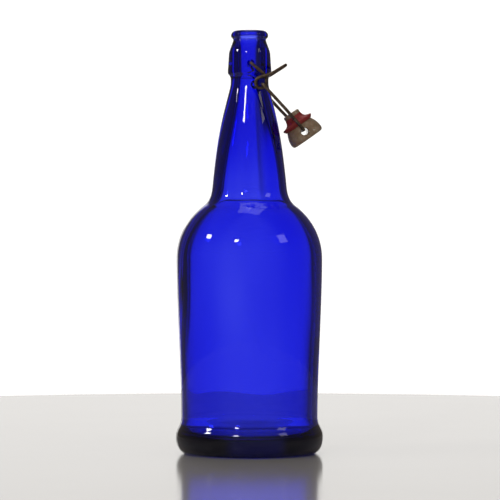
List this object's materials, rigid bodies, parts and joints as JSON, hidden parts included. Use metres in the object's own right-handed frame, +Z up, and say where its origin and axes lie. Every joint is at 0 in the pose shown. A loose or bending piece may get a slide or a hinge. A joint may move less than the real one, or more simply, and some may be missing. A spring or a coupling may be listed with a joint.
{
  "type": "swing-top glass bottle",
  "caption": "Tall round glass bottle with a tapered neck and a swing-top wire closure, its ceramic stopper and rubber gasket hanging open beside the neck.",
  "frame": {"origin": "centre of the base, on the surface that the bottle stands on", "axes": "+Z up along the bottle's axis, both wires pivot about lines parallel to Y, and the open stopper hangs on the +X side"},
  "size_m": [0.1012, 0.1012, 0.291],
  "materials": {
    "glass": "clear cobalt-blue moulded glass, smooth outside, slightly uneven inside",
    "lever_steel": "plain drawn steel wire, dulled, brownish grey",
    "bail_steel": "plain drawn steel wire, dulled, brownish grey",
    "porcelain": "glazed porcelain, cream to tan, worn edges",
    "gasket_rubber": "matt red rubber"
  },
  "bodies": {
    "bottle": {"bottle": "glass"},
    "lever": {"lever_wire": "lever_steel"},
    "bail": {"bail_wire": "bail_steel"},
    "stopper": {"stopper": "porcelain", "gasket": "gasket_rubber"}
  },
  "joints": [
    {"name": "lever_swing", "type": "hinge", "parent": "bottle", "child": "lever", "pos_m": [0, 0, 0.2681], "axis": [0, -1, 0], "range_deg": [0, 55]},
    {"name": "bail_swing", "type": "hinge", "parent": "lever", "child": "bail", "pos_m": [0.00775, 0, 0.25337], "axis": [0, -1, 0], "range_deg": [0, 100]},
    {"name": "stopper_spin", "type": "hinge", "parent": "bail", "child": "stopper", "pos_m": [0.03643, 0, 0.22244], "axis": [0, -1, 0], "continuous": true}
  ]
}
